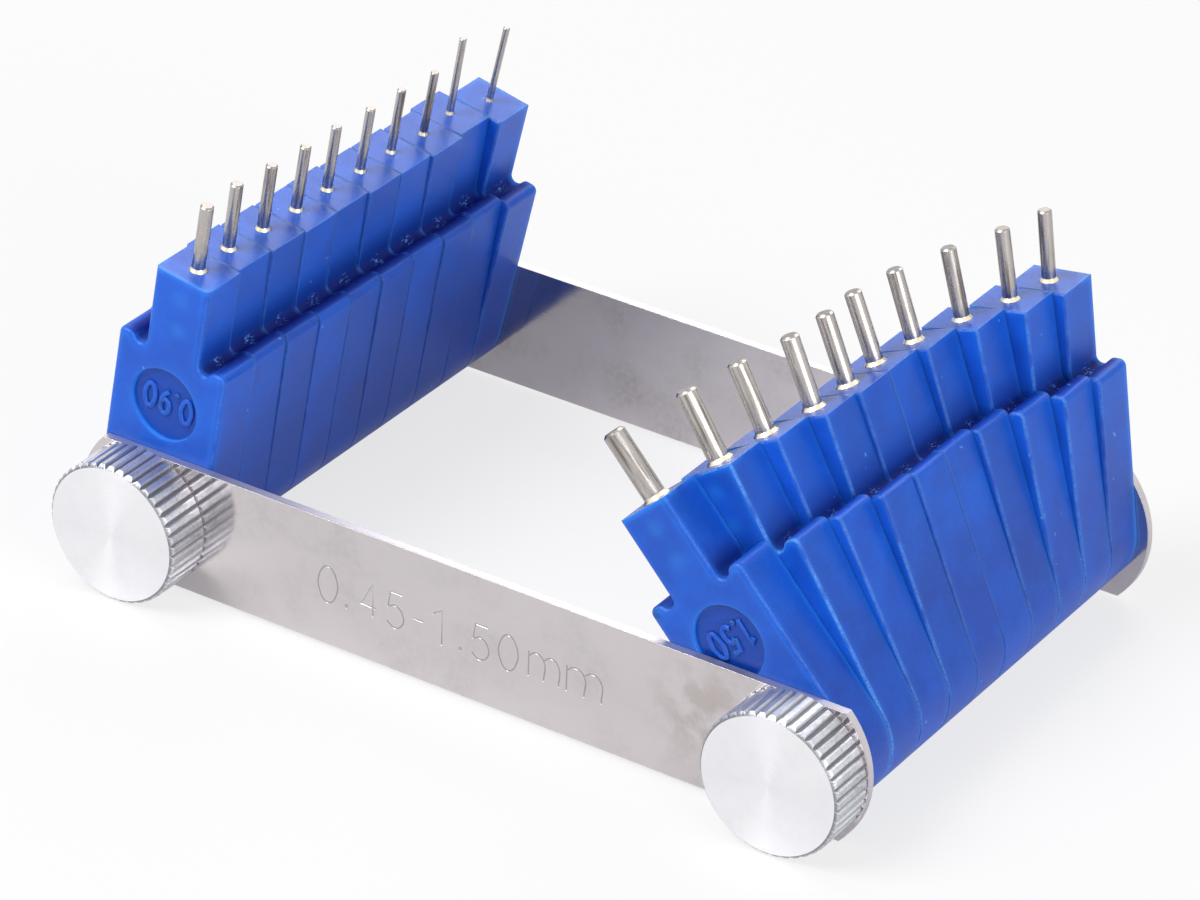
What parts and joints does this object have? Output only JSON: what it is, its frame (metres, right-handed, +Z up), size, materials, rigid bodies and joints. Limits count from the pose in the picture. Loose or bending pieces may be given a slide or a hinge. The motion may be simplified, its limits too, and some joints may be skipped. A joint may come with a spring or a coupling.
{
  "type": "carburettor jet gauge",
  "caption": "Folding gauge set for carburettor jets: steel pins of graded diameters on plastic blades that swing on two clamped pivots between two steel side bars.",
  "frame": {"origin": "middle of the footprint at the height that the gauge stands on, midway between the two pivot axes", "axes": "+X along the side bars, +Y from the knobs and front bar to the rear bar, along the pivots, +Z up, the way the gauge pins point"},
  "size_m": [0.0602, 0.0404, 0.0287],
  "materials": {
    "bar_steel": "satin stainless strip",
    "post_steel": "turned steel",
    "knob_metal": "turned face, straight knurl",
    "blade_plastic": "moulded, satin gloss",
    "pin_steel": "polished wire"
  },
  "bodies": {
    "frame": {"front_bar": "bar_steel", "rear_bar": "bar_steel", "left_post": "post_steel", "right_post": "post_steel"},
    "left_knob": {"left_thumb_screw": "knob_metal"},
    "arm_090": {"blade_090": "blade_plastic", "pin_090": "pin_steel"},
    "arm_085": {"blade_085": "blade_plastic", "pin_085": "pin_steel"},
    "arm_080": {"blade_080": "blade_plastic", "pin_080": "pin_steel"},
    "arm_075": {"blade_075": "blade_plastic", "pin_075": "pin_steel"},
    "arm_070": {"blade_070": "blade_plastic", "pin_070": "pin_steel"},
    "arm_065": {"blade_065": "blade_plastic", "pin_065": "pin_steel"},
    "arm_060": {"blade_060": "blade_plastic", "pin_060": "pin_steel"},
    "arm_055": {"blade_055": "blade_plastic", "pin_055": "pin_steel"},
    "arm_050": {"blade_050": "blade_plastic", "pin_050": "pin_steel"},
    "arm_045": {"blade_045": "blade_plastic", "pin_045": "pin_steel"},
    "right_knob": {"right_thumb_screw": "knob_metal"},
    "arm_150": {"blade_150": "blade_plastic", "pin_150": "pin_steel"},
    "arm_140": {"blade_140": "blade_plastic", "pin_140": "pin_steel"},
    "arm_130": {"blade_130": "blade_plastic", "pin_130": "pin_steel"},
    "arm_125": {"blade_125": "blade_plastic", "pin_125": "pin_steel"},
    "arm_120": {"blade_120": "blade_plastic", "pin_120": "pin_steel"},
    "arm_115": {"blade_115": "blade_plastic", "pin_115": "pin_steel"},
    "arm_110": {"blade_110": "blade_plastic", "pin_110": "pin_steel"},
    "arm_105": {"blade_105": "blade_plastic", "pin_105": "pin_steel"},
    "arm_100": {"blade_100": "blade_plastic", "pin_100": "pin_steel"},
    "arm_095": {"blade_095": "blade_plastic", "pin_095": "pin_steel"}
  },
  "joints": [
    {"name": "left_knob_turn", "type": "hinge", "parent": "frame", "child": "left_knob", "pos_m": [-0.025, -0.01669, 0.005], "axis": [0, 1, 0], "continuous": true},
    {"name": "swing_090", "type": "hinge", "parent": "frame", "child": "arm_090", "pos_m": [-0.025, -0.01434, 0.005], "axis": [0, 1, 0], "continuous": true},
    {"name": "swing_085", "type": "hinge", "parent": "frame", "child": "arm_085", "pos_m": [-0.025, -0.01086, 0.005], "axis": [0, 1, 0], "continuous": true},
    {"name": "swing_080", "type": "hinge", "parent": "frame", "child": "arm_080", "pos_m": [-0.025, -0.00739, 0.005], "axis": [0, 1, 0], "continuous": true},
    {"name": "swing_075", "type": "hinge", "parent": "frame", "child": "arm_075", "pos_m": [-0.025, -0.00391, 0.005], "axis": [0, 1, 0], "continuous": true},
    {"name": "swing_070", "type": "hinge", "parent": "frame", "child": "arm_070", "pos_m": [-0.025, -0.00044, 0.005], "axis": [0, 1, 0], "continuous": true},
    {"name": "swing_065", "type": "hinge", "parent": "frame", "child": "arm_065", "pos_m": [-0.025, 0.00304, 0.005], "axis": [0, 1, 0], "continuous": true},
    {"name": "swing_060", "type": "hinge", "parent": "frame", "child": "arm_060", "pos_m": [-0.025, 0.00651, 0.005], "axis": [0, 1, 0], "continuous": true},
    {"name": "swing_055", "type": "hinge", "parent": "frame", "child": "arm_055", "pos_m": [-0.025, 0.00999, 0.005], "axis": [0, 1, 0], "continuous": true},
    {"name": "swing_050", "type": "hinge", "parent": "frame", "child": "arm_050", "pos_m": [-0.025, 0.01346, 0.005], "axis": [0, 1, 0], "continuous": true},
    {"name": "swing_045", "type": "hinge", "parent": "frame", "child": "arm_045", "pos_m": [-0.025, 0.01694, 0.005], "axis": [0, 1, 0], "continuous": true},
    {"name": "right_knob_turn", "type": "hinge", "parent": "frame", "child": "right_knob", "pos_m": [0.025, -0.01669, 0.005], "axis": [0, 1, 0], "continuous": true},
    {"name": "swing_150", "type": "hinge", "parent": "frame", "child": "arm_150", "pos_m": [0.025, -0.01434, 0.005], "axis": [0, 1, 0], "continuous": true},
    {"name": "swing_140", "type": "hinge", "parent": "frame", "child": "arm_140", "pos_m": [0.025, -0.01086, 0.005], "axis": [0, 1, 0], "continuous": true},
    {"name": "swing_130", "type": "hinge", "parent": "frame", "child": "arm_130", "pos_m": [0.025, -0.00739, 0.005], "axis": [0, 1, 0], "continuous": true},
    {"name": "swing_125", "type": "hinge", "parent": "frame", "child": "arm_125", "pos_m": [0.025, -0.00391, 0.005], "axis": [0, 1, 0], "continuous": true},
    {"name": "swing_120", "type": "hinge", "parent": "frame", "child": "arm_120", "pos_m": [0.025, -0.00044, 0.005], "axis": [0, 1, 0], "continuous": true},
    {"name": "swing_115", "type": "hinge", "parent": "frame", "child": "arm_115", "pos_m": [0.025, 0.00304, 0.005], "axis": [0, 1, 0], "continuous": true},
    {"name": "swing_110", "type": "hinge", "parent": "frame", "child": "arm_110", "pos_m": [0.025, 0.00651, 0.005], "axis": [0, 1, 0], "continuous": true},
    {"name": "swing_105", "type": "hinge", "parent": "frame", "child": "arm_105", "pos_m": [0.025, 0.00999, 0.005], "axis": [0, 1, 0], "continuous": true},
    {"name": "swing_100", "type": "hinge", "parent": "frame", "child": "arm_100", "pos_m": [0.025, 0.01346, 0.005], "axis": [0, 1, 0], "continuous": true},
    {"name": "swing_095", "type": "hinge", "parent": "frame", "child": "arm_095", "pos_m": [0.025, 0.01694, 0.005], "axis": [0, 1, 0], "continuous": true}
  ]
}
